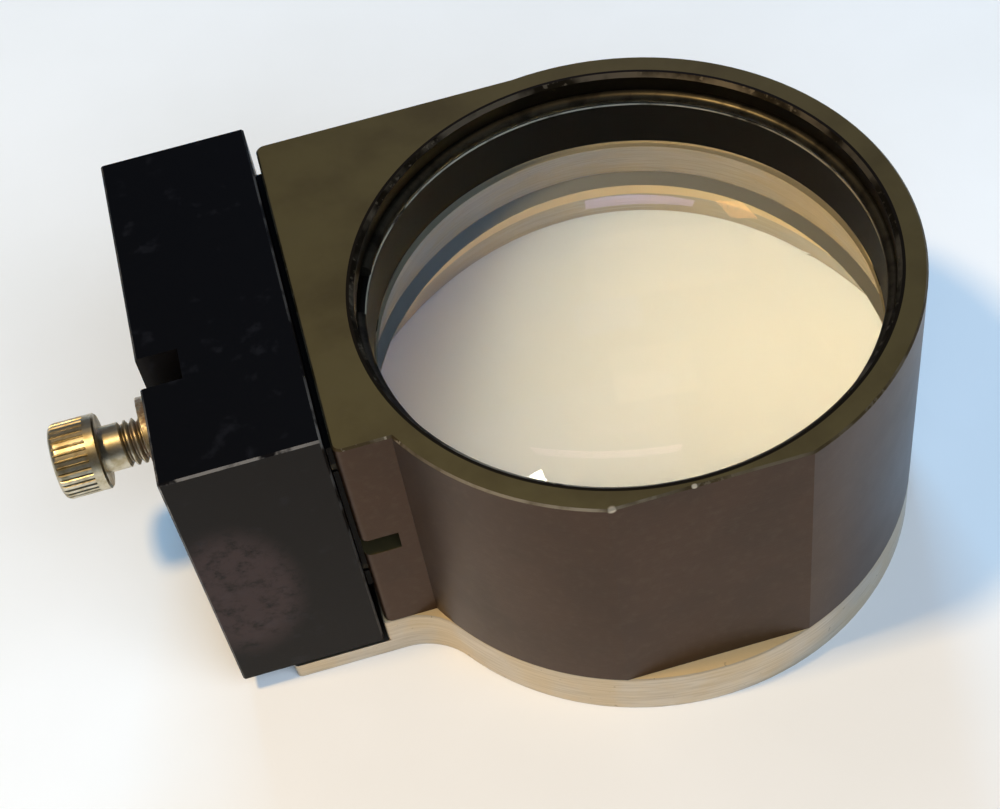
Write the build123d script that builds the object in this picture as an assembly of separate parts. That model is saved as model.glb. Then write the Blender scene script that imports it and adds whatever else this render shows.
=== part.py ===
from build123d import *
from math import cos, sin, radians, sqrt
import os

os.makedirs("parts", exist_ok=True)

# Enlarger lens in its housing, with the black mount block that fastens it to the enlarger.
# Frame: origin on the optical axis at the underside of the base plate, +Z up the optical axis
# towards the open end of the bore, -X towards the mount block, -Y the front with the flat.

# ---- driving sizes (mm) ----
lens_r = 25.4               # two inch glass
fit = 0.05                  # radial clearance of parts dropped into the bore
barrel_wall = 2.75
seat_ledge = 3.1            # how far the shoulder reaches in under the glass
seat_t = 5.1                # thickness of the shoulder that carries the glass stack
plate_t = 5.5               # base plate
bore_r = lens_r + fit
body_r = bore_r + barrel_wall
aperture_r = lens_r - seat_ledge
seat_top = plate_t + seat_t
rim_chamfer = 0.4           # lead-in at the open end of the bore
edge_break = 0.2            # small chamfer on outside edges
fine_break = 0.12           # smaller one, on thin or loose pieces

flange_reach = 2.35         # flange stands out past the barrel
flat_depth = 1.56
mate_x = -(body_r + flange_reach)   # flange face turned to the mount block
flange_front = -12.75
flange_back = body_r - 0.2
corner_r = 0.9              # rounded upright corners of the flange
flat_y = -(body_r - flat_depth)     # flat milled on the front of the barrel

slot_depth = 3.7            # keyway across the flange face
slot_h = 2.45
key_clear = 0.05
key_in_block = 2.1
key_front = 4.4             # key set back from the front end of the keyway
key_back = 3.6
key_end_clear = 0.1
slot_drop = 0.6             # keyway below the middle of the block

# optical stack, from the shoulder up to the lip above the snap ring
lower_edge = 2.8
lower_sag = 6.3             # height of the curved face above its flat land
spacer_wall = 1.2
glass_gap = 3.2             # air between the two glasses on the axis
upper_edge = 3.0
upper_sag = 5.8
land_spare = 0.05           # the flat ring of glass is this much wider than what stands on it
retainer_h = 5.36
retainer_wall = 0.63
wire_r = 0.68               # snap ring wire
rim_lip = 2.08              # housing above the snap ring
wire_reach = 0.53           # how far the wire reaches into its groove
wire_gap_from = 157.0       # degrees: the snap ring is open between these two angles
wire_gap_to = 170.0
wire_play_low, wire_play_top = 0.03, 0.12
lens_break = 0.25

# mount block
block_gap = 0.6             # air gap, bridged by the raised pad
block_t = 14.8
block_front = flange_front
block_w = 41.7
block_bottom = 2.3
block_rise = 2.05           # block above the housing
pad_margin = 3.0
pad_back_margin = 0.9
groove_w = 3.7
groove_depth = 4.0
groove_y = 0.4

tongue_t = 2.05             # thin end of the base plate, under the block
tongue_reach = 10.2
plate_fillet = 7.0          # hollow corner between flange and round part of the plate
plate_overhang = 0.2        # plate stands out past the flange on the block side
plate_corner_r, tongue_corner_r = 0.4, 0.6

# mounting screw, number 10 with 32 threads to the inch, knurled head
screw_r = 2.41
screw_pitch = 0.794
screw_plain = 2.2           # shank under the head without thread
screw_hole_wall = 2.7       # metal left between the tapped hole and the key's pocket
screw_tip_clear = 0.6       # tip to the bottom of its hole with the head drawn tight
head_rim = 1.55             # head stands out past the shank
head_h = 4.83
head_socket = 3.97          # across flats
head_gap = 4.1              # head to washers, as the screw stands
knurl_count = 36
knurl_depth = 0.2
washer_clear = 0.21
lock_washer_width = 1.67
lock_washer_t = 1.2
lock_washer_free = 2.4
lock_turn_deg = 352.0       # the rest of the turn is the split
lock_split_deg = 130.0
flat_washer_rim = 0.36      # flat washer stands out past the spring washer
flat_washer_t = 0.9
flat_washer_play = 0.1      # bore larger than the spring washer's
screw_drop = 0.5            # screw below the keyway's middle
screw_tip_chamfer = 0.45
head_round = 0.7
thread_clear = 0.05

# hidden fasteners
cap_r, cap_head_r, cap_head_h = 2.08, 3.43, 4.17
cap_bite = 4.7              # thread in the flange
cap_socket = 3.57
cap_head_clear = 0.25
cap_shank_clear = 0.15
cap_seat = 0.05             # head below the block's face
cap_tip_chamfer, cap_head_chamfer = 0.5, 0.3
drill_spare = 0.4           # blind holes are this much deeper than their screws
cap_inset = 5.15            # from the block's upright edges
cap_low, cap_high = 9.3, 8.15
csk_r, csk_head_r = 1.42, 2.65
csk_bite = 4.0              # thread in the shoulder
csk_clear = 0.05
csk_slot_w, csk_slot_depth = 0.8, 0.75
csk_tip_chamfer = 0.35
csk_first_slot, csk_slot_step = 25, 40  # degrees; each slot stopped where its screw came tight

# ---- derived levels ----
block_in = mate_x - block_gap
block_out = block_in - block_t
block_back = block_front + block_w
lower_top = seat_top + lower_edge
spacer_top = lower_top + lower_sag + glass_gap
upper_top = spacer_top + upper_edge
retainer_top = upper_top + retainer_h
wire_mid_r = bore_r + wire_reach - wire_r
wire_z = retainer_top + wire_r
body_top = wire_z + wire_r + rim_lip
block_top = body_top + block_rise
slot_z = (block_bottom + block_top) / 2 - slot_drop
screw_y = block_front + block_w / 2
screw_z = slot_z - screw_drop
screw_hole_depth = block_t - key_in_block - screw_hole_wall
screw_len = screw_hole_depth - screw_tip_clear + flat_washer_t + lock_washer_free
head_r = screw_r + head_rim
lock_washer_bore = screw_r + washer_clear
lock_washer_r = lock_washer_bore + lock_washer_width
flat_washer_r = lock_washer_r + flat_washer_rim
washer_face = block_out - flat_washer_t - lock_washer_free
bearing_x = washer_face - head_gap
key_front_y = flange_front + key_front
key_back_y = flange_back - key_back
key_in_x = mate_x + slot_depth - key_end_clear
key_out_x = block_in - key_in_block + key_end_clear
csk_circle_r = (aperture_r + body_r) / 2
csk_spots = [(csk_circle_r * cos(radians(a)), csk_circle_r * sin(radians(a))) for a in (45, 135, 225, 315)]
cap_head_x = block_out + cap_head_h + cap_seat
cap_len = mate_x + cap_bite - cap_head_x
cap_spots = [(y, z) for y in (block_front + cap_inset, block_back - cap_inset)
             for z in (block_bottom + cap_low, block_top - cap_high)]
csk_len = plate_t + csk_bite
csk_sink = csk_head_r - csk_r


def box(x0, x1, y0, y1, z0, z1):
    """Box between six limits."""
    return Pos((x0 + x1) / 2, (y0 + y1) / 2, (z0 + z1) / 2) * Box(x1 - x0, y1 - y0, z1 - z0)


def rod(r, z0, z1):
    """Cylinder on the optical axis."""
    return Pos(0, 0, (z0 + z1) / 2) * Cylinder(r, z1 - z0)


def tube(r_out, r_in, z0, z1):
    """Ring on the optical axis."""
    return rod(r_out, z0, z1) - rod(r_in, z0 - 1, z1 + 1)


def rod_x(r, x0, x1, y=0.0, z=0.0):
    """Cylinder parallel to X."""
    return Pos((x0 + x1) / 2, y, z) * Rot(0, 90, 0) * Cylinder(r, x1 - x0)


def hex_x(across, x0, x1, y, z):
    """Hexagonal prism parallel to X."""
    prism = extrude(RegularPolygon(across / sqrt(3), 6), amount=x1 - x0)
    return Pos(x0, y, z) * Rot(0, 90, 0) * prism


def at_level(edges, z):
    """Edges lying wholly at one height."""
    return [e for e in edges if abs(e.bounding_box().min.Z - z) < 1e-4 and abs(e.bounding_box().max.Z - z) < 1e-4]


def save(shape, name):
    """Write one named piece."""
    shape.label = name
    export_step(shape, "parts/" + name + ".step")


# ---- housing: barrel with a square flange, bored from the top down to a shoulder ----
def flange_bar(x_left, z0, z1):
    """Square-cornered half of the outline, from a left face to the barrel's middle."""
    bar = box(x_left, 0, flange_front, flange_back, z0, z1)
    uprights = [e for e in bar.edges().filter_by(Axis.Z) if abs(e.center().X - x_left) < 1e-3]
    return fillet(uprights, corner_r)


def top_broken(solid, z, size):
    """Chamfer round the upper outline of a solid, except the edge buried at the middle."""
    rims = [e for e in at_level(solid.edges(), z) if abs(e.center().X) > 1e-3 or e.geom_type == GeomType.CIRCLE]
    return chamfer(rims, size)


def front_wedge(y_front, z_top, size):
    """Three-sided bar that breaks the top edge of the flat."""
    section = make_face(Polyline((y_front - 1, z_top - size - 1), (y_front - 1, z_top + 1),
                                 (y_front + size + 1, z_top + 1), close=True))
    return Pos(-body_r, 0, 0) * extrude(Plane.YZ * section, amount=2 * body_r)


outline = top_broken(rod(body_r, plate_t, body_top), body_top, edge_break)
outline += top_broken(flange_bar(mate_x, plate_t, body_top), body_top, edge_break)
outline -= box(-body_r, body_r, -body_r - 5, flat_y, plate_t - 1, body_top + 1)
outline -= front_wedge(flat_y, body_top, edge_break)
housing = outline - rod(bore_r, seat_top, body_top + 1) - rod(aperture_r, plate_t - 1, seat_top + 1)
rim_edge = [e for e in at_level(housing.edges(), body_top) if e.geom_type == GeomType.CIRCLE
            and abs(e.radius - bore_r) < 1e-3]
housing = chamfer(rim_edge, rim_chamfer)
housing -= tube(bore_r + wire_reach + fit, bore_r - 1, retainer_top - wire_play_low,
                wire_z + wire_r + wire_play_top)
housing -= box(mate_x - 1, mate_x + slot_depth, flange_front - 1, flange_back + 1,
               slot_z - slot_h / 2, slot_z + slot_h / 2)
for y, z in cap_spots:
    housing -= rod_x(cap_r + thread_clear, mate_x - 1, cap_head_x + cap_len + drill_spare, y, z)
for x, y in csk_spots:
    housing -= Pos(x, y, 0) * rod(csk_r + csk_clear, plate_t - 1, csk_len + drill_spare)
save(housing, "housing")

# ---- base plate: same outline, hollow front corner, thin tongue reaching under the block ----
plate_left = mate_x - plate_overhang
plan = Circle(body_r) + Pos(plate_left / 2, (flange_front + flange_back) / 2) * Rectangle(
    abs(plate_left), flange_back - flange_front)
plate = extrude(plan, amount=plate_t)
hollow = [e for e in plate.edges().filter_by(Axis.Z)
          if abs(e.center().Y - flange_front) < 1e-3 and e.center().X > plate_left + 1]
plate = fillet(hollow, plate_fillet)
corners = [e for e in plate.edges().filter_by(Axis.Z) if abs(e.center().X - plate_left) < 1e-3]
plate = fillet(corners, plate_corner_r)
plate = chamfer(at_level(plate.edges(), plate_t), fine_break)
tongue_end = mate_x - tongue_reach
tongue = box(tongue_end, mate_x + 3, flange_front, flange_back, 0, tongue_t)
corners = [e for e in tongue.edges().filter_by(Axis.Z) if abs(e.center().X - tongue_end) < 1e-3]
tongue = fillet(corners, tongue_corner_r)
plate += tongue
plate -= rod(aperture_r, -1, plate_t + 1)
for x, y in csk_spots:
    plate -= Pos(x, y, 0) * rod(csk_r + csk_clear, -1, plate_t + 1)
    plate -= Pos(x, y, csk_sink / 2) * Cone(csk_head_r + csk_clear, csk_r + csk_clear, csk_sink)
save(plate, "base_plate")

# ---- countersunk screws up through the plate, slotted ----
csk = []
for i, (x, y) in enumerate(csk_spots):
    one = rod(csk_r, csk_sink - 0.01, csk_len) + Pos(0, 0, csk_sink / 2) * Cone(csk_head_r, csk_r, csk_sink)
    one -= box(-csk_head_r - 1, csk_head_r + 1, -csk_slot_w / 2, csk_slot_w / 2, -1, csk_slot_depth)
    one = chamfer(one.edges().sort_by(Axis.Z)[-1], csk_tip_chamfer)
    csk.append(Pos(x, y, 0) * Rot(0, 0, csk_first_slot + csk_slot_step * i) * one)
save(Compound(children=csk), "plate_screws")

# ---- mount block: keyed outer face, raised pad, pocket for the key, tapped hole ----
block = box(block_out, block_in, block_front, block_back, block_bottom, block_top)
block = chamfer(block.edges(), edge_break)
block += box(block_in - 1, mate_x, block_front + pad_margin, flange_back - pad_back_margin,
             plate_t + pad_margin, body_top - pad_margin)
block -= box(block_out - 1, block_out + groove_depth, groove_y - groove_w / 2, groove_y + groove_w / 2,
             block_bottom - 1, block_top + 1)
block -= box(block_in - key_in_block, mate_x + 1, key_front_y - key_clear, key_back_y + key_clear,
             slot_z - slot_h / 2, slot_z + slot_h / 2)
block -= rod_x(screw_r + thread_clear, block_out - 1, block_out + screw_hole_depth, screw_y, screw_z)
for y, z in cap_spots:
    block -= rod_x(cap_r + cap_shank_clear, block_out - 1, mate_x + 1, y, z)
    block -= rod_x(cap_head_r + cap_head_clear, block_out - 1, cap_head_x, y, z)
save(block, "mount_block")

# ---- key between block and flange ----
key = box(key_out_x, key_in_x, key_front_y, key_back_y,
          slot_z - slot_h / 2 + key_clear, slot_z + slot_h / 2 - key_clear)
save(chamfer(key.edges(), fine_break), "locating_key")

# ---- cap screws holding the block to the flange ----
caps = []
for y, z in cap_spots:
    one = rod_x(cap_r, cap_head_x - 0.01, cap_head_x + cap_len, y, z)
    one = chamfer(one.edges().sort_by(Axis.X)[-1], cap_tip_chamfer)
    head = rod_x(cap_head_r, cap_head_x - cap_head_h, cap_head_x, y, z)
    head = chamfer(head.edges().sort_by(Axis.X)[0], cap_head_chamfer)
    head -= hex_x(cap_socket, cap_head_x - cap_head_h - 1, cap_head_x - cap_head_h / 2, y, z)
    caps.append(head + one)
save(Compound(children=caps), "block_screws")


# ---- glass ----
def domed_lens(z0, edge, sag, land):
    """Plano-convex glass, flat side down, with a flat land round the curved face."""
    dome_r = lens_r - land - land_spare
    curve_r = (dome_r ** 2 + sag ** 2) / (2 * sag)
    centre_z = z0 + edge + sag - curve_r
    dome = Pos(0, 0, centre_z) * Sphere(curve_r) & rod(dome_r, z0 + edge - 0.5, z0 + edge + sag + 1)
    disc = rod(lens_r, z0, z0 + edge)
    disc = chamfer(disc.edges().sort_by(Axis.Z)[0], lens_break)
    return disc + dome


save(domed_lens(seat_top, lower_edge, lower_sag, spacer_wall), "lower_lens")
save(domed_lens(spacer_top, upper_edge, upper_sag, retainer_wall), "upper_lens")
save(tube(lens_r, lens_r - spacer_wall, lower_top, spacer_top), "lens_spacer")

# ---- black retaining ring, its inner lips lightly broken ----
retainer = tube(lens_r, lens_r - retainer_wall, upper_top, retainer_top)
lips = [e for e in retainer.edges() if e.geom_type == GeomType.CIRCLE and e.radius < lens_r - 0.1]
save(chamfer(lips, fine_break), "retaining_ring")

# ---- snap ring: round wire sprung into its groove, open on the block side ----
arc_span = 360 - (wire_gap_to - wire_gap_from)
wire = Rot(0, 0, wire_gap_to) * revolve(Plane.XZ * Pos(wire_mid_r, wire_z) * Circle(wire_r), Axis.Z, arc_span)
save(wire, "snap_ring")


# ---- mounting screw with a real thread, knurled head and hexagon socket ----
def thread_groove(r, pitch, length):
    """Sixty degree groove winding up +Z round a shank of the outside radius."""
    depth = 0.58 * pitch
    mouth, floor = 0.45 * pitch, 0.07 * pitch
    path = Helix(pitch, length, r)
    profile = Polyline((0.06, -mouth), (0.06, mouth), (-depth, floor), (-depth, -floor), close=True)
    section = Plane(path @ 0, x_dir=(1, 0, 0), z_dir=path % 0) * make_face(profile)
    return sweep(section, path=path, is_frenet=True)


shaft = chamfer(rod(screw_r, 0, screw_len + 0.5).edges().sort_by(Axis.Z)[0], screw_tip_chamfer)
shaft -= Pos(0, 0, -screw_pitch) * thread_groove(screw_r, screw_pitch, screw_len - screw_plain + screw_pitch)
head = rod(head_r, screw_len, screw_len + head_h)
knurl_top, knurl_low = screw_len + head_h + 1, screw_len + 0.24 * head_h
head = fillet(head.edges().sort_by(Axis.Z)[-1], head_round)
head = chamfer(head.edges().sort_by(Axis.Z)[0], edge_break)
half = 1.25 * knurl_depth
vee = make_face(Polyline((head_r - knurl_depth, 0), (head_r + 0.1, -half), (head_r + 0.1, half), close=True))
cutter = Pos(0, 0, knurl_low) * extrude(vee, amount=knurl_top - knurl_low)
head -= [Rot(0, 0, 360 * i / knurl_count) * cutter for i in range(knurl_count)]
head -= Pos(0, 0, screw_len + head_h / 2) * extrude(RegularPolygon(head_socket / sqrt(3), 6), amount=head_h)
screw = shaft + head
tip_x = bearing_x + screw_len
save(Pos(tip_x, screw_y, screw_z) * Rot(0, -90, 0) * screw, "mounting_screw")

# ---- washers on the screw: flat against the block, split spring washer outside it ----
flat_washer = rod_x(flat_washer_r, block_out - flat_washer_t, block_out, screw_y, screw_z)
flat_washer -= rod_x(lock_washer_bore + flat_washer_play, block_out - flat_washer_t - 1, block_out + 1,
                     screw_y, screw_z)
flat_washer = chamfer([e for e in flat_washer.edges() if e.geom_type == GeomType.CIRCLE
                       and e.radius > flat_washer_r - 0.1], fine_break)
save(flat_washer, "flat_washer")

mean_r = (lock_washer_r + lock_washer_bore) / 2
lift = lock_washer_free - lock_washer_t
coil_path = Helix(lift * 360 / lock_turn_deg, lift, mean_r)
coil_face = Plane(coil_path @ 0, x_dir=(1, 0, 0), z_dir=coil_path % 0) * RectangleRounded(
    lock_washer_r - lock_washer_bore, lock_washer_t, fine_break)
coil = sweep(coil_face, path=coil_path, is_frenet=True)
coil = Pos(0, 0, lock_washer_t / 2) * coil
save(Pos(block_out - flat_washer_t, screw_y, screw_z) * Rot(0, -90, 0) * Rot(0, 0, lock_split_deg) * coil,
     "lock_washer")
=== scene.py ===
"""Finishes and stage for a darkroom enlarger lens.

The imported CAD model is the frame. Each operator below makes or finishes one piece, or one
group of like pieces, and the last one sets the table, lights and camera.
"""
import math
import bpy
from mathutils import Matrix, Vector


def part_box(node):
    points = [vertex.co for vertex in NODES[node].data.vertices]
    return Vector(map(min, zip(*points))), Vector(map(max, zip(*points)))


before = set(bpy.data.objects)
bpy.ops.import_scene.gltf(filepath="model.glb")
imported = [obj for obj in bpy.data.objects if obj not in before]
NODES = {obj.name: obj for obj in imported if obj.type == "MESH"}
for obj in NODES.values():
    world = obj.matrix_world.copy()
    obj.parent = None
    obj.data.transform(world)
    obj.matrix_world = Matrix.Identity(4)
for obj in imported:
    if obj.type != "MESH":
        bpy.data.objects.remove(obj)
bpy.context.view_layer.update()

bl_info = {
    "name": "Enlarger lens",
    "version": (1, 0, 0),
    "blender": (4, 5, 0),
    "location": "3D View > Sidebar > Enlarger lens",
    "description": "Finishes an enlarger lens mount, its glass and its hardware",
    "category": "Object",
}

MM = 0.001

HOUSING_LOW, HOUSING_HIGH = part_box("housing")
BLOCK_LOW, BLOCK_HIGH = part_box("mount_block")
SCREW_LOW, SCREW_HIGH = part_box("mounting_screw")
LOCK_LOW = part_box("lock_washer")[0]
GLASS_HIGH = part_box("upper_lens")[1]
RING_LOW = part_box("retaining_ring")[0]

BODY_R = HOUSING_HIGH.x
GLASS_R = GLASS_HIGH.x
BODY_TOP = HOUSING_HIGH.z
FLAT_Y = HOUSING_LOW.y
FLANGE_FRONT = BLOCK_LOW.y
FLAT_END_X = -math.sqrt(BODY_R ** 2 - FLAT_Y ** 2)  # left end of the flat, where the rim is nicked
SCREW_Y = (SCREW_LOW.y + SCREW_HIGH.y) / 2
SCREW_Z = (SCREW_LOW.z + SCREW_HIGH.z) / 2
HEAD_R = (SCREW_HIGH.z - SCREW_LOW.z) / 2
SHANK_R = 2.41 * MM
KNURL_END_X = SCREW_LOW.x + 4.6 * MM
CLOUDY = {"Detail": 4.0, "Roughness": 0.55}  # the usual make-up of a cloudy pattern

# name, place, width and depth, colour, its power setting, and whether polished faces show it
LIGHTS = (
    ("sky", (0.12, 1.5, 0.6), (0.55, 0.35), "#86cbff", "sky_power", False),
    ("room", (0.15, -0.55, 0.55), (1.1, 0.7), "#d8eaff", "room_power", False),
    ("lamp", (-0.22, -0.02, 0.5), (0.06, 0.06), "#ffd99a", "lamp_power", True),
    ("window", (0.4, 1.34, 0.53), (0.42, 0.17), "#d4ccff", "window_power", True),
    ("roof_window", (0.09, 0.79, 1.27), (0.33, 0.23), "#f4f6ff", "roof_window_power", True),
    ("far_lamp", (0.25, 1.6, 0.14), (0.03, 0.03), "#ffd9a8", "far_lamp_power", True),
)


# ---- nodes ----
def srgb(text):
    """Linear colour with alpha from an sRGB hex value."""
    parts = [int(text[i:i + 2], 16) / 255 for i in (1, 3, 5)]
    return tuple(c / 12.92 if c <= 0.04045 else ((c + 0.055) / 1.055) ** 2.4 for c in parts) + (1.0,)


def add(tree, kind, inputs=(), **settings):
    """One node with its settings. Each input, by name or in order, is a value or a node or socket to link."""
    node = tree.nodes.new("ShaderNode" + kind)
    for key, value in settings.items():
        setattr(node, key, value)
    sockets = [socket for socket in node.inputs if socket.enabled]
    for key, value in inputs.items() if isinstance(inputs, dict) else enumerate(inputs):
        socket = sockets[key] if isinstance(key, int) else next(s for s in sockets if s.name == key)
        if isinstance(value, bpy.types.Node):
            value = next(output for output in value.outputs if output.enabled)
        if isinstance(value, bpy.types.NodeSocket):
            tree.links.new(value, socket)
        else:
            socket.default_value = value
    return node


def new_material(name):
    """Empty material, its node tree and its Object coordinates."""
    mat = bpy.data.materials.new(name)
    mat.use_nodes = True
    mat.node_tree.nodes.clear()
    return mat, mat.node_tree, add(mat.node_tree, "TexCoord").outputs["Object"]


def falling(tree, value, low, high):
    """1 below low and 0 above high, smooth between them."""
    rise = add(tree, "MapRange", (value, low, high), interpolation_type="SMOOTHSTEP")
    return add(tree, "Math", (1.0, rise), operation="SUBTRACT")


def patches(tree, place, size, low, high, detail=4.0, rough=0.55):
    """1 on cloudy spots about size metres wide, 0 between them; low and high set how many and how sharp."""
    cloud = add(tree, "TexNoise", {"Vector": place, "Scale": 1 / size, "Detail": detail, "Roughness": rough})
    return add(tree, "MapRange", (cloud, low, high), interpolation_type="SMOOTHSTEP")


def grain(tree, place, size, depth, detail=2.0, under=None):
    """Relief of depth metres with spots about size metres wide, over another relief if one is given."""
    height = add(tree, "TexNoise", {"Vector": place, "Scale": 1 / size, **CLOUDY, "Detail": detail})
    below = {} if under is None else {"Normal": under}
    return add(tree, "Bump", {"Height": height, "Distance": depth, "Strength": 1.0, **below})


def varied(tree, base, share, amount, operation="ADD"):
    """Base changed by amount where share is 1."""
    change = add(tree, "Math", (share, amount), operation="MULTIPLY")
    return add(tree, "Math", (base, change), operation=operation)


def near(tree, place, point, reach, core=0.4):
    """1 close to a point, fading to 0 at reach metres."""
    gap = add(tree, "VectorMath", (place, point), operation="DISTANCE")
    return falling(tree, gap, reach * core, reach)


def sloping_edge(tree):
    """1 on the small edge breaks whose faces lie halfway between level and upright."""
    face = add(tree, "NewGeometry").outputs["True Normal"]
    upward = add(tree, "SeparateXYZ", (face,)).outputs["Z"]
    slope = add(tree, "Math", (upward,), operation="ABSOLUTE")
    off_upright = add(tree, "MapRange", (slope, 0.45, 0.6), interpolation_type="SMOOTHSTEP")
    return add(tree, "Math", (off_upright, falling(tree, slope, 0.82, 0.93)), operation="MULTIPLY")


def box_edge(tree):
    """1 on the edge breaks of a square block, whose faces look along no single axis."""
    face = add(tree, "NewGeometry").outputs["True Normal"]
    along = add(tree, "SeparateXYZ", (face,)).outputs
    widest = add(tree, "Math", (along["X"],), operation="ABSOLUTE")
    for axis in "YZ":
        other = add(tree, "Math", (along[axis],), operation="ABSOLUTE")
        widest = add(tree, "Math", (widest, other), operation="MAXIMUM")
    return falling(tree, widest, 0.78, 0.92)


def facing_up(tree):
    """1 on faces that look up."""
    face = add(tree, "NewGeometry").outputs["Normal"]
    upward = add(tree, "SeparateXYZ", (face,)).outputs["Z"]
    return add(tree, "MapRange", (upward, 0.5, 0.95), interpolation_type="SMOOTHSTEP")


def inside_radius(tree, place, radius):
    """1 within a radius of the optical axis."""
    flat = add(tree, "Mapping", {"Vector": place, "Scale": (1, 1, 0)})
    away = add(tree, "VectorMath", (flat,), operation="LENGTH")
    return add(tree, "Math", (away, radius), operation="LESS_THAN")


def axis_distance(tree, place, y, z):
    """Distance from a line parallel to X."""
    axes = add(tree, "SeparateXYZ", (place,)).outputs
    squares = []
    for axis, centre in (("Y", y), ("Z", z)):
        offset = add(tree, "Math", (axes[axis], centre), operation="SUBTRACT")
        squares.append(add(tree, "Math", (offset, offset), operation="MULTIPLY"))
    return add(tree, "Math", (add(tree, "Math", squares, operation="ADD"),), operation="SQRT")


# ---- materials ----
def anodised_bronze(look):
    """Aluminium dyed brown in the anodising bath: satin, with painted light making faces that look up olive
    and the sides plum, painted shade darkening the bore above the ring, and pale warm painted light on the
    bare walls under it.
    """
    mat, tree, place = new_material("Dyed anodised aluminium")
    cloud = add(tree, "TexNoise", {"Vector": place, "Scale": 1 / (9 * MM), **CLOUDY})
    # painted light: faces that look up take an olive colour and upright faces a plum one, a lit top and
    # shaded sides
    surface_colour = add(tree, "Mix", (facing_up(tree), look.side_light_colour, look.top_light_colour), data_type="RGBA")
    darker = add(tree, "MapRange", (cloud, 0.35, 0.75), interpolation_type="SMOOTHSTEP")
    darker = add(tree, "Math", (darker, 0.4), operation="MULTIPLY")
    surface_colour = add(tree, "Mix", (darker, surface_colour, look.dark_colour), data_type="RGBA")
    faded = patches(tree, place, 0.9 * MM, 0.45, 0.8, detail=6)
    faded = add(tree, "Math", (faded, 0.1), operation="MULTIPLY")
    surface_colour = add(tree, "Mix", (faded, surface_colour, srgb("#6b6150")), data_type="RGBA")
    # painted shade: everything within the bore is darkened to near black, where shade falls inside the
    # housing; the bare walls under the ring are drawn over it
    bore_painted_shade = inside_radius(tree, place, GLASS_R + 0.75 * MM)
    surface_colour = add(tree, "Mix", (bore_painted_shade, surface_colour, srgb("#1a150c")), data_type="RGBA")

    chips = patches(tree, place, 0.7 * MM, 1 - look.wear, 1 - look.wear + 0.1, detail=5)
    along = patches(tree, place, 7 * MM, 0.45, 0.6)
    worn = add(tree, "Math", (chips, along), operation="MAXIMUM")
    rubbed = add(tree, "Math", (worn, sloping_edge(tree)), operation="MULTIPLY")
    front_rim = near(tree, place, (-16 * MM, -24 * MM, BODY_TOP), 13 * MM)
    flange_rim = near(tree, place, (-27 * MM, FLANGE_FRONT, BODY_TOP), 5 * MM)
    zones = add(tree, "Math", (front_rim, flange_rim), operation="MAXIMUM")
    rubbed = add(tree, "Math", (rubbed, varied(tree, 0.15, zones, 0.4)), operation="MULTIPLY")
    nick = near(tree, place, (FLAT_END_X + 0.4 * MM, FLAT_Y, BODY_TOP - 0.1 * MM), 0.5 * MM, core=0.5)
    nick = add(tree, "Math", (nick, 0.7), operation="MULTIPLY")
    speck = near(tree, place, (-1.5 * MM, FLAT_Y, BODY_TOP), 0.35 * MM, core=0.6)
    marks = add(tree, "Math", (nick, speck), operation="MAXIMUM")
    bare = add(tree, "Math", (rubbed, marks), operation="MAXIMUM")

    # the bore and its shoulder were machined after dyeing, so they are bare under the ring; their pale warm
    # colour is also painted light, lifting these walls out of the shade under the glass and offsetting the
    # blue of the light through it
    height = add(tree, "SeparateXYZ", (place,)).outputs["Z"]
    under_ring = add(tree, "Math", (height, RING_LOW.z + 0.05 * MM), operation="LESS_THAN")
    in_bore = inside_radius(tree, place, GLASS_R + 0.1 * MM)
    inside = add(tree, "Math", (in_bore, under_ring), operation="MULTIPLY")
    bare = add(tree, "Math", (bare, inside), operation="MAXIMUM")
    metal = add(tree, "Mix", (inside, srgb("#d9ccb4"), look.inside_lit_colour), data_type="RGBA")

    round_barrel = add(tree, "Mapping", {"Vector": place, "Scale": (1, 1, 40)})
    tool_marks = grain(tree, round_barrel, 8 * MM, 0.004 * MM, detail=3)
    # etched grain, drawn coarser than the real 0.02 mm
    etched = grain(tree, place, 0.16 * MM, 0.004 * MM, under=tool_marks)
    shader = add(tree, "BsdfPrincipled", {
        "Base Color": add(tree, "Mix", (bare, surface_colour, metal), data_type="RGBA"),
        "Metallic": varied(tree, 0.72, inside, 0.65, operation="SUBTRACT"),
        "Roughness": varied(tree, varied(tree, 0.32, cloud, 0.14), inside, 0.4),
        "Normal": etched,
    })
    add(tree, "OutputMaterial", {"Surface": shader})
    return mat


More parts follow.
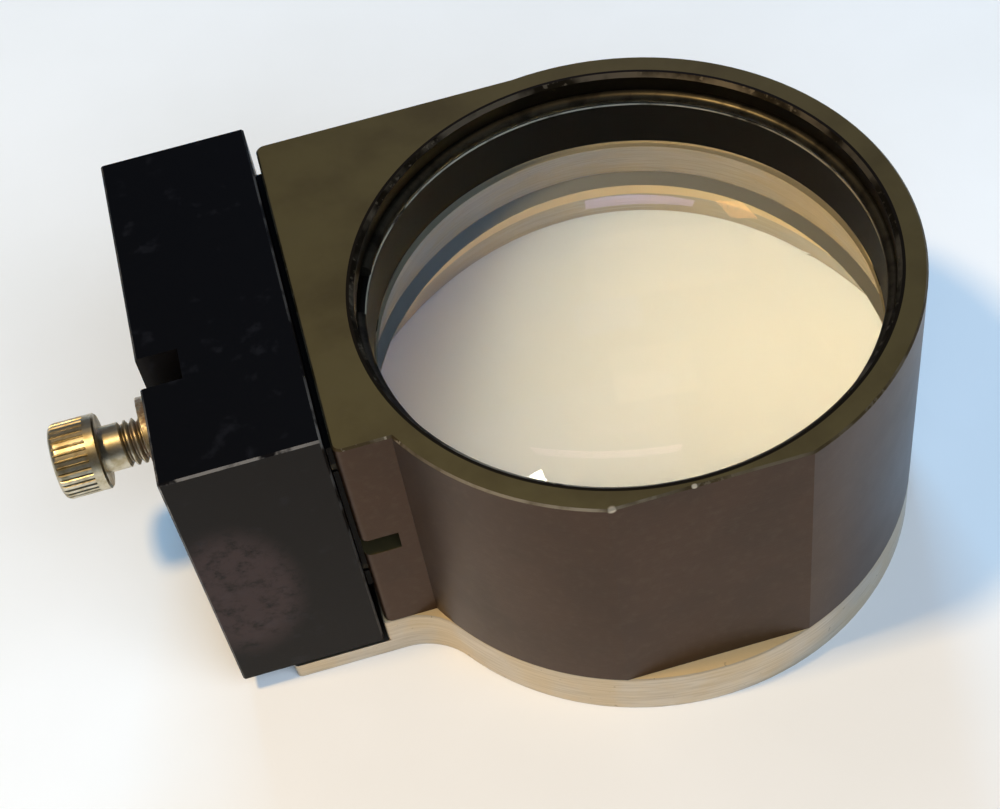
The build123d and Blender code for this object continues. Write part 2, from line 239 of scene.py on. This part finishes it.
def bare_aluminium(look):
    """Milled aluminium left bare: bright satin, fine cutter lines, yellow where old oil has dried."""
    mat, tree, place = new_material("Milled aluminium")
    cloud = add(tree, "TexNoise", {"Vector": place, "Scale": 1 / (6 * MM), **CLOUDY})
    cutter_path = add(tree, "Mapping", {"Vector": place, "Scale": (1, 1, 30)})
    lines = add(tree, "TexNoise", {"Vector": cutter_path, "Scale": 1 / (5 * MM), **CLOUDY})
    height = add(tree, "SeparateXYZ", (place,)).outputs["Z"]
    above_foot = add(tree, "MapRange", (height, 3 * MM, 4 * MM), interpolation_type="SMOOTHSTEP")
    ledge = add(tree, "Math", (facing_up(tree), above_foot), operation="MULTIPLY")
    dull = add(tree, "Math", (ledge, inside_radius(tree, place, GLASS_R)), operation="MAXIMUM")

    streaks = add(tree, "MapRange", (lines, 0.35, 0.7), interpolation_type="SMOOTHSTEP")
    metal = add(tree, "Mix", (streaks, look.metal_colour, srgb("#b8ad9c")), data_type="RGBA")
    oily = add(tree, "MapRange", (cloud, 0.38, 0.62), interpolation_type="SMOOTHSTEP")
    oily = add(tree, "Math", (oily, look.stain), operation="MULTIPLY")
    on_ledge = add(tree, "Math", (ledge, 0.75), operation="MULTIPLY")
    oily = add(tree, "Math", (oily, on_ledge), operation="MAXIMUM")
    metal = add(tree, "Mix", (oily, metal, look.stain_colour), data_type="RGBA")
    spots = patches(tree, place, 0.6 * MM, 0.68, 0.75, detail=3)
    spots = add(tree, "Math", (spots, 0.5), operation="MULTIPLY")
    shader = add(tree, "BsdfPrincipled", {
        "Base Color": add(tree, "Mix", (spots, metal, srgb("#6d6350")), data_type="RGBA"),
        "Metallic": varied(tree, 0.95, dull, 0.55, operation="SUBTRACT"),
        "Roughness": varied(tree, varied(tree, 0.3, cloud, 0.2), dull, 0.3),
        "Normal": add(tree, "Bump", {"Height": lines, "Distance": 0.006 * MM, "Strength": 1.0}),
    })
    add(tree, "OutputMaterial", {"Surface": shader})
    return mat


def anodised_black(look):
    """Aluminium dyed black: near-black satin, with painted light making faces that look up darker and bluer
    than the sides, rubbed grey on edges, hazy where hands have polished it.
    """
    mat, tree, place = new_material("Black anodised aluminium")
    # painted light: faces that look up take a darker, bluer black and upright faces a warmer, lighter one, by
    # how light falls on them
    surface_colour = add(tree, "Mix", (facing_up(tree), look.side_light_colour, look.top_light_colour), data_type="RGBA")
    wide, high = 1.2, 0.7  # the hazy patch is squeezed across and drawn out upwards by these
    squeezed = add(tree, "Mapping", {"Vector": place, "Scale": (wide, 1, high)})
    haze_at = ((BLOCK_LOW.x + 3 * MM) * wide, BLOCK_LOW.y, (BLOCK_LOW.z + 15 * MM) * high)
    patch = near(tree, squeezed, haze_at, 8.5 * MM, core=0.55)
    ragged = patches(tree, place, 1.8 * MM, 0.28, 0.55, detail=8, rough=0.7)
    haze = add(tree, "Math", (patch, ragged), operation="MULTIPLY")
    haze = add(tree, "Math", (haze, look.haze), operation="MULTIPLY")
    surface_colour = add(tree, "Mix", (haze, surface_colour, look.haze_colour), data_type="RGBA")
    smudge = patches(tree, place, 2.4 * MM, 0.58, 0.72, detail=6)
    smudge = add(tree, "Math", (smudge, 0.04), operation="MULTIPLY")
    surface_colour = add(tree, "Mix", (smudge, surface_colour, srgb("#5a5a62")), data_type="RGBA")

    along = patches(tree, place, 3.5 * MM, 0.42, 0.55, detail=5)
    rubbed = add(tree, "Math", (box_edge(tree), along), operation="MULTIPLY")
    front_edge = near(tree, place, (BLOCK_LOW.x + 6 * MM, BLOCK_LOW.y, BLOCK_HIGH.z), 12 * MM)
    rubbed = add(tree, "Math", (rubbed, varied(tree, 0.1, front_edge, 0.4)), operation="MULTIPLY")
    speckle = add(tree, "TexNoise", {"Vector": place, "Scale": 1 / (0.5 * MM), **CLOUDY, "Detail": 5})
    shader = add(tree, "BsdfPrincipled", {
        "Base Color": add(tree, "Mix", (rubbed, surface_colour, srgb("#a8a096")), data_type="RGBA"),
        "Metallic": add(tree, "Math", (rubbed, 0.8), operation="MULTIPLY"),
        "Roughness": varied(tree, 0.28, speckle, 0.12),
        "Specular IOR Level": 0.1,
        "Normal": grain(tree, place, 0.18 * MM, 0.005 * MM),
    })
    add(tree, "OutputMaterial", {"Surface": shader})
    return mat


def plated_steel(look):
    """Zinc-plated steel gone yellow with age: bright, with rust, and darker colour in the knurl grooves and
    thread roots.
    """
    mat, tree, place = new_material("Aged zinc-plated steel")
    radius = axis_distance(tree, place, SCREW_Y, SCREW_Z)
    along = add(tree, "SeparateXYZ", (place,)).outputs["X"]
    cloud = add(tree, "TexNoise", {"Vector": place, "Scale": 1 / (1.4 * MM), **CLOUDY, "Detail": 5})
    aged = add(tree, "MapRange", (cloud, 0.35, 0.7), interpolation_type="SMOOTHSTEP")
    metal = add(tree, "Mix", (aged, look.plating_colour, look.aged_colour), data_type="RGBA")

    # the knurl grooves and the thread roots are coloured darker
    in_groove = falling(tree, radius, HEAD_R - 0.2 * MM, HEAD_R - 0.02 * MM)
    on_head = add(tree, "Math", (along, KNURL_END_X), operation="LESS_THAN")
    outside = add(tree, "MapRange", (radius, HEAD_R - 0.5 * MM, HEAD_R - 0.3 * MM),
                  interpolation_type="SMOOTHSTEP")
    groove_dark = add(tree, "Math", (in_groove, on_head), operation="MULTIPLY")
    groove_dark = add(tree, "Math", (groove_dark, outside), operation="MULTIPLY")
    groove_dark = add(tree, "Math", (groove_dark, 0.3), operation="MULTIPLY")
    root = falling(tree, radius, SHANK_R - 0.35 * MM, SHANK_R - 0.08 * MM)
    root = add(tree, "Math", (root, 0.6), operation="MULTIPLY")
    hollow_dark = add(tree, "Math", (groove_dark, root), operation="MAXIMUM")
    metal = add(tree, "Mix", (hollow_dark, metal, srgb("#4a3c20")), data_type="RGBA")

    by_washer = add(tree, "MapRange", (along, LOCK_LOW.x - 3 * MM, LOCK_LOW.x + 1 * MM),
                    interpolation_type="SMOOTHSTEP")
    rusty = patches(tree, place, 0.9 * MM, 0.38, 0.6, detail=6)
    rust = add(tree, "Math", (by_washer, rusty), operation="MULTIPLY")
    rust = add(tree, "Math", (rust, look.rust), operation="MULTIPLY")
    rough = add(tree, "Math", (rust, cloud), operation="MAXIMUM")
    shader = add(tree, "BsdfPrincipled", {
        "Base Color": add(tree, "Mix", (rust, metal, look.rust_colour), data_type="RGBA"),
        "Metallic": varied(tree, 1.0, rust, 0.7, operation="SUBTRACT"),
        "Roughness": varied(tree, 0.22, rough, 0.3),
        "Normal": add(tree, "Bump", {"Height": cloud, "Distance": 0.01 * MM, "Strength": 1.0}),
    })
    add(tree, "OutputMaterial", {"Surface": shader})
    return mat


def blackened_steel():
    """Oiled black steel: dark brown-grey with a soft shine, a little bare metal on high spots."""
    mat, tree, place = new_material("Oil-blacked steel")
    cloud = add(tree, "TexNoise", {"Vector": place, "Scale": 1 / (2 * MM), **CLOUDY, "Detail": 5})
    darker = add(tree, "MapRange", (cloud, 0.4, 0.7), interpolation_type="SMOOTHSTEP")
    shader = add(tree, "BsdfPrincipled", {
        "Base Color": add(tree, "Mix", (darker, srgb("#4d483c"), srgb("#2b2822")), data_type="RGBA"),
        "Metallic": 0.9,
        "Roughness": varied(tree, 0.28, cloud, 0.2),
        "Normal": grain(tree, place, 0.2 * MM, 0.004 * MM),
    })
    add(tree, "OutputMaterial", {"Surface": shader})
    return mat


def black_ring_finish():
    """Matt black dyed finish on a turned ring: very dark, with a rubbed grey upper lip."""
    mat, tree, place = new_material("Matt black turned ring")
    round_ring = add(tree, "Mapping", {"Vector": place, "Scale": (1, 1, 60)})
    turned = add(tree, "TexNoise", {"Vector": round_ring, "Scale": 1 / (6 * MM), **CLOUDY, "Detail": 3})
    streaks = add(tree, "MapRange", (turned, 0.35, 0.7), interpolation_type="SMOOTHSTEP")
    surface_colour = add(tree, "Mix", (streaks, srgb("#070605"), srgb("#0f0e0b")), data_type="RGBA")
    worn = patches(tree, place, 4 * MM, 0.3, 0.5)
    rubbed = add(tree, "Math", (sloping_edge(tree), worn), operation="MULTIPLY")
    shader = add(tree, "BsdfPrincipled", {
        "Base Color": add(tree, "Mix", (rubbed, surface_colour, srgb("#8c8778")), data_type="RGBA"),
        "Roughness": varied(tree, 0.42, turned, 0.15),
        "Specular IOR Level": 0.3,
        "Normal": add(tree, "Bump", {"Height": turned, "Distance": 0.006 * MM, "Strength": 1.0}),
    })
    add(tree, "OutputMaterial", {"Surface": shader})
    return mat


def optical_glass(look):
    """Polished crown glass with a single coating: clear, slightly straw coloured, plum highlights."""
    mat, tree, place = new_material("Coated crown glass")
    dust = patches(tree, place, 0.5 * MM, 0.7, 0.78, detail=3)
    smear = patches(tree, place, 11 * MM, 0.6, 0.8)
    soiled = add(tree, "Math", (dust, smear), operation="MAXIMUM")
    shader = add(tree, "BsdfPrincipled", {
        "Base Color": look.tint,
        "Roughness": add(tree, "Math", (soiled, 0.03), operation="MULTIPLY"),
        "Transmission Weight": 1.0,
        "IOR": look.index,
        "Thin Film Thickness": look.coating,
        "Thin Film IOR": 1.38,  # magnesium fluoride
    })
    # lamps shine through to what lies behind
    clear = add(tree, "BsdfTransparent", {"Color": look.shade})
    lit_through = add(tree, "LightPath").outputs["Is Shadow Ray"]
    both = add(tree, "MixShader", (lit_through, shader, clear))
    add(tree, "OutputMaterial", {"Surface": both})
    return mat


def table_top(look):
    """White laminate: smooth, faintly mottled, a low sheen."""
    mat, tree, place = new_material("White laminate")
    mottled = patches(tree, place, 60 * MM, 0.3, 0.7)
    shader = add(tree, "BsdfPrincipled", {
        "Base Color": add(tree, "Mix", (mottled, look.table_colour, srgb("#f1f1ee")), data_type="RGBA"),
        "Roughness": 0.45,
        "Normal": grain(tree, place, 1.5 * MM, 0.01 * MM, detail=4),
    })
    add(tree, "OutputMaterial", {"Surface": shader})
    return mat


def finish_node(name, material):
    """Gives a CAD node its material in every slot."""
    slots = NODES[name].material_slots
    for slot in slots:
        slot.material = material
    if not slots:
        NODES[name].data.materials.append(material)


# ---- settings ----
def colour_setting(name, text, about):
    """Colour property with an sRGB default."""
    return bpy.props.FloatVectorProperty(name=name, description=about, subtype="COLOR", size=4, min=0,
                                         max=1, default=srgb(text))


class LensHousingLook(bpy.types.PropertyGroup):
    """Colours and wear of the brown housing."""
    # painted light: the top and side colours are the housing's brown as lit from above, olive on faces that
    # look up and plum on the shaded sides
    top_light_colour: colour_setting("Top colour", "#6b6140", "Dye on faces that look up")
    side_light_colour: colour_setting("Side colour", "#402b1c", "Dye on upright faces")
    dark_colour: colour_setting("Dark colour", "#2e241a", "Dye in its darker clouds")
    # painted light: the inside colour is pale and warm to lift the bare walls out of the shade under the
    # glass and to offset the blue light through it
    inside_lit_colour: colour_setting("Inside colour", "#f6d9a6", "Bare machined walls round the glass")
    wear: bpy.props.FloatProperty(name="Wear", description="Share of the edges rubbed bare", default=0.45,
                                  min=0, max=1, subtype="FACTOR")


class LensPlateLook(bpy.types.PropertyGroup):
    """Colours of the bare base plate."""
    metal_colour: colour_setting("Metal", "#cdc4b5", "Clean milled metal")
    stain_colour: colour_setting("Stain", "#d2b57c", "Dried oil")
    stain: bpy.props.FloatProperty(name="Stain amount", description="How strongly oil shows", default=0.3,
                                   min=0, max=1, subtype="FACTOR")


class LensBlockLook(bpy.types.PropertyGroup):
    """Colours and wear of the black mount block."""
    # painted light: these top and side colours make faces that look up darker and bluer than the upright
    # sides, by how light falls
    top_light_colour: colour_setting("Top colour", "#06070a", "Dye on faces that look up")
    side_light_colour: colour_setting("Side colour", "#100c0a", "Dye on upright faces")
    haze_colour: colour_setting("Haze colour", "#4f3c38", "Polished patch low on the front")
    haze: bpy.props.FloatProperty(name="Haze", description="Strength of the polished patch", default=0.5,
                                  min=0, max=1, subtype="FACTOR")


class LensGlassLook(bpy.types.PropertyGroup):
    """Optical glass and its coating."""
    tint: colour_setting("Tint", "#fcfaf6", "Colour of light through the glass")
    shade: colour_setting("Shade", "#d5e3f8", "Light straight through on its way to what lies behind")
    index: bpy.props.FloatProperty(name="Refractive index", description="Crown glass is 1.52", default=1.52,
                                   min=1.4, max=1.9)
    coating: bpy.props.FloatProperty(name="Coating thickness", description="Coating thickness in nanometres",
                                     default=120.0, min=0.0, max=400.0)


class LensHardwareLook(bpy.types.PropertyGroup):
    """Plating and rust on the screw and washers."""
    plating_colour: colour_setting("Plating", "#d6cfba", "Bright plating")
    aged_colour: colour_setting("Aged plating", "#b0a383", "Yellowed plating")
    rust_colour: colour_setting("Rust", "#5c3612", "Rust near the washers")
    rust: bpy.props.FloatProperty(name="Rust amount", description="How strongly rust shows", default=0.8,
                                  min=0, max=1, subtype="FACTOR")


class LensStageLook(bpy.types.PropertyGroup):
    """Camera, table and light."""
    azimuth: bpy.props.FloatProperty(name="Azimuth", description="Camera direction round the lens",
                                     default=math.radians(-6.16), subtype="ANGLE", unit="ROTATION")
    elevation: bpy.props.FloatProperty(name="Elevation", description="Camera height above the table",
                                       default=math.radians(51.9), subtype="ANGLE", unit="ROTATION")
    roll: bpy.props.FloatProperty(name="Roll", description="Camera turn about its own line of sight",
                                  default=math.radians(-10.62), subtype="ANGLE", unit="ROTATION")
    distance: bpy.props.FloatProperty(name="Distance", description="Camera to the point it looks at",
                                      default=210.76 * MM, subtype="DISTANCE", unit="LENGTH")
    focal: bpy.props.FloatProperty(name="Focal length", description="On a sensor 36 mm wide, in millimetres",
                                   default=67.34, min=10, max=300)
    aim: bpy.props.FloatVectorProperty(name="Aim", description="Point on the table the camera looks at",
                                       default=(-12.13 * MM, 14.52 * MM, 0.0), subtype="TRANSLATION",
                                       unit="LENGTH")
    table_colour: colour_setting("Table", "#f7f7f5", "White laminate")
    sky_power: bpy.props.FloatProperty(name="Sky light", description="Cool light from behind", default=22.0,
                                       min=0, unit="POWER")
    lamp_power: bpy.props.FloatProperty(name="Lamp", description="Warm light from the upper left",
                                        default=1.6, min=0, unit="POWER")
    room_power: bpy.props.FloatProperty(name="Room light", description="Wide soft light from the front",
                                        default=7.4, min=0, unit="POWER")
    window_power: bpy.props.FloatProperty(name="Window", description="Window mirrored in the glass",
                                          default=1.1, min=0, unit="POWER")
    roof_window_power: bpy.props.FloatProperty(name="Roof window", description="High window behind the lens",
                                               default=0.22, min=0, unit="POWER")
    far_lamp_power: bpy.props.FloatProperty(name="Far lamp", description="Small warm lamp far behind",
                                            default=0.08, min=0, unit="POWER")
    ambient: bpy.props.FloatProperty(name="Ambient", description="Even light from all round", default=0.08,
                                     min=0, max=2)


# ---- operators ----
class LENS_OT_housing(bpy.types.Operator):
    """Finish the brown housing"""
    bl_idname = "enlarger_lens.housing"
    bl_label = "Housing"

    def execute(self, context):
        finish_node("housing", anodised_bronze(context.scene.lens_housing))
        return {"FINISHED"}


class LENS_OT_base_plate(bpy.types.Operator):
    """Finish the bare base plate"""
    bl_idname = "enlarger_lens.base_plate"
    bl_label = "Base plate"

    def execute(self, context):
        finish_node("base_plate", bare_aluminium(context.scene.lens_plate))
        return {"FINISHED"}


class LENS_OT_mount_block(bpy.types.Operator):
    """Finish the black mount block"""
    bl_idname = "enlarger_lens.mount_block"
    bl_label = "Mount block"

    def execute(self, context):
        finish_node("mount_block", anodised_black(context.scene.lens_block))
        return {"FINISHED"}


class LENS_OT_glass(bpy.types.Operator):
    """Finish both glasses"""
    bl_idname = "enlarger_lens.glass"
    bl_label = "Glass"

    def execute(self, context):
        glass = optical_glass(context.scene.lens_glass)
        for name in ("lower_lens", "upper_lens"):
            finish_node(name, glass)
        return {"FINISHED"}


class LENS_OT_rings(bpy.types.Operator):
    """Finish the retaining ring, the spacer and the snap ring"""
    bl_idname = "enlarger_lens.rings"
    bl_label = "Rings"

    def execute(self, context):
        finish_node("retaining_ring", black_ring_finish())
        finish_node("lens_spacer", bare_aluminium(context.scene.lens_plate))
        finish_node("snap_ring", blackened_steel())
        return {"FINISHED"}


class LENS_OT_hardware(bpy.types.Operator):
    """Finish the mounting screw, its washers, the key and the fixing screws"""
    bl_idname = "enlarger_lens.hardware"
    bl_label = "Hardware"

    def execute(self, context):
        steel = plated_steel(context.scene.lens_hardware)
        for name in ("mounting_screw", "flat_washer", "lock_washer", "plate_screws", "locating_key"):
            finish_node(name, steel)
        finish_node("block_screws", blackened_steel())
        return {"FINISHED"}


def area_light(name, place, aim, size, power, colour, mirrored):
    """Soft rectangular light looking at a point; polished faces show it only if mirrored."""
    data = bpy.data.lights.new(name, "AREA")
    data.shape, data.size, data.size_y = "RECTANGLE", size[0], size[1]
    data.energy, data.color = power, srgb(colour)[:3]
    light = bpy.data.objects.new(name, data)
    light.location = place
    light.rotation_euler = (Vector(aim) - Vector(place)).to_track_quat("-Z", "Y").to_euler()
    light.visible_glossy = light.visible_transmission = mirrored
    bpy.context.collection.objects.link(light)


class LENS_OT_stage(bpy.types.Operator):
    """Set the table, the lights and the camera"""
    bl_idname = "enlarger_lens.stage"
    bl_label = "Stage"

    def execute(self, context):
        look = context.scene.lens_stage
        bpy.ops.object.select_all(action="DESELECT")
        bpy.ops.mesh.primitive_plane_add(size=3.0, location=(0, 0, -0.0001))
        table = bpy.context.active_object
        table.name = "table"
        table.data.materials.append(table_top(look))
        centre = Vector((0, 0, BODY_TOP / 2))
        for name, place, size, colour, power, mirrored in LIGHTS:
            area_light(name, place, centre, size, getattr(look, power), colour, mirrored)
        world = bpy.data.worlds.new("room")
        world.use_nodes = True
        backdrop = world.node_tree.nodes["Background"].inputs
        backdrop["Color"].default_value = srgb("#e0efff")
        backdrop["Strength"].default_value = look.ambient
        context.scene.world = world
        context.scene.view_settings.view_transform = "Standard"
        make_camera(look)
        return {"FINISHED"}


def make_camera(look):
    """Camera on its line of sight to the aim point, turned by the roll."""
    a, e, r = look.azimuth, look.elevation, look.roll
    back = Vector((math.sin(a) * math.cos(e), -math.cos(a) * math.cos(e), math.sin(e)))
    level = Vector((math.cos(a), math.sin(a), 0))
    up = back.cross(level)
    right = math.cos(r) * level + math.sin(r) * up
    top = -math.sin(r) * level + math.cos(r) * up
    data = bpy.data.cameras.new("camera")
    data.sensor_width, data.lens = 36.0, look.focal
    data.clip_start, data.clip_end = 0.01, 20.0
    camera = bpy.data.objects.new("camera", data)
    bpy.context.collection.objects.link(camera)
    turn = Matrix((right, top, back)).transposed().to_4x4()
    camera.matrix_world = Matrix.Translation(Vector(look.aim) + back * look.distance) @ turn
    bpy.context.scene.camera = camera


OPERATORS = (LENS_OT_housing, LENS_OT_base_plate, LENS_OT_mount_block, LENS_OT_glass, LENS_OT_rings,
             LENS_OT_hardware, LENS_OT_stage)
LOOKS = {"lens_housing": LensHousingLook, "lens_plate": LensPlateLook, "lens_block": LensBlockLook,
         "lens_glass": LensGlassLook, "lens_hardware": LensHardwareLook, "lens_stage": LensStageLook}


class LENS_PT_panel(bpy.types.Panel):
    """Buttons for each piece of the enlarger lens."""
    bl_idname = "LENS_PT_panel"
    bl_label = "Enlarger lens"
    bl_space_type = "VIEW_3D"
    bl_region_type = "UI"
    bl_category = "Enlarger lens"

    def draw(self, context):
        for operator in OPERATORS:
            self.layout.operator(operator.bl_idname)


def register():
    """Registers the settings, operators and panel."""
    for name, look in LOOKS.items():
        bpy.utils.register_class(look)
        setattr(bpy.types.Scene, name, bpy.props.PointerProperty(type=look))
    for cls in (*OPERATORS, LENS_PT_panel):
        bpy.utils.register_class(cls)


def unregister():
    """Takes everything registered away again."""
    for cls in (LENS_PT_panel, *reversed(OPERATORS)):
        bpy.utils.unregister_class(cls)
    for name, look in LOOKS.items():
        delattr(bpy.types.Scene, name)
        bpy.utils.unregister_class(look)


def main():
    """Runs every operator."""
    register()
    for operator in OPERATORS:
        group, name = operator.bl_idname.split(".")
        getattr(getattr(bpy.ops, group), name)()


if __name__ == "__main__":
    main()
